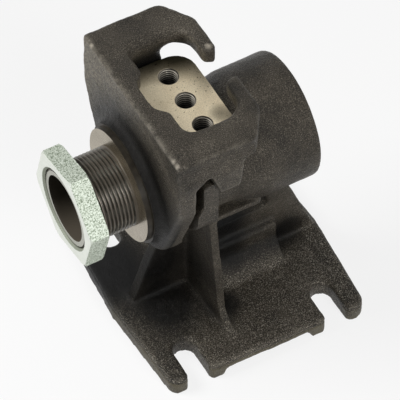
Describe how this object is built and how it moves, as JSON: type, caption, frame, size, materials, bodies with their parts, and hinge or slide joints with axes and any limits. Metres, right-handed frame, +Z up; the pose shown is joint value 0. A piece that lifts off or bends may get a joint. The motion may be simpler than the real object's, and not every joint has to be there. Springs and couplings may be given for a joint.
{
  "type": "automatic pipe coupling",
  "caption": "Cast pedestal with a threaded outlet and a hooked claw on it that lifts straight up, carrying a threaded nipple with a hexagon locknut.",
  "frame": {"origin": "on the floor, straight under the joint face of the foot, in the plane that halves the coupling", "axes": "+X along the pipe from the pump to the discharge pipe, +Z up, Y across"},
  "size_m": [0.1632, 0.1368, 0.1882],
  "materials": {
    "foot_iron": "sand cast, dark",
    "claw_iron": "sand cast, dark",
    "nipple_steel": "dark oxidised steel, cut thread",
    "zinc_steel": "pale zinc plating, slightly speckled",
    "seal_rubber": "matt black"
  },
  "bodies": {
    "foot": {"foot_casting": "foot_iron"},
    "claw": {"claw_casting": "claw_iron", "threaded_nipple": "nipple_steel", "flange_seal": "seal_rubber"},
    "nut": {"locknut": "zinc_steel"}
  },
  "joints": [
    {"name": "claw_lift", "type": "slide", "parent": "foot", "child": "claw", "axis": [0, 0, 1], "range_m": [0, 0.15]},
    {"name": "locknut_turn", "type": "hinge", "parent": "claw", "child": "nut", "pos_m": [-0.0504, 0, 0.121], "axis": [1, 0, 0], "continuous": true}
  ]
}
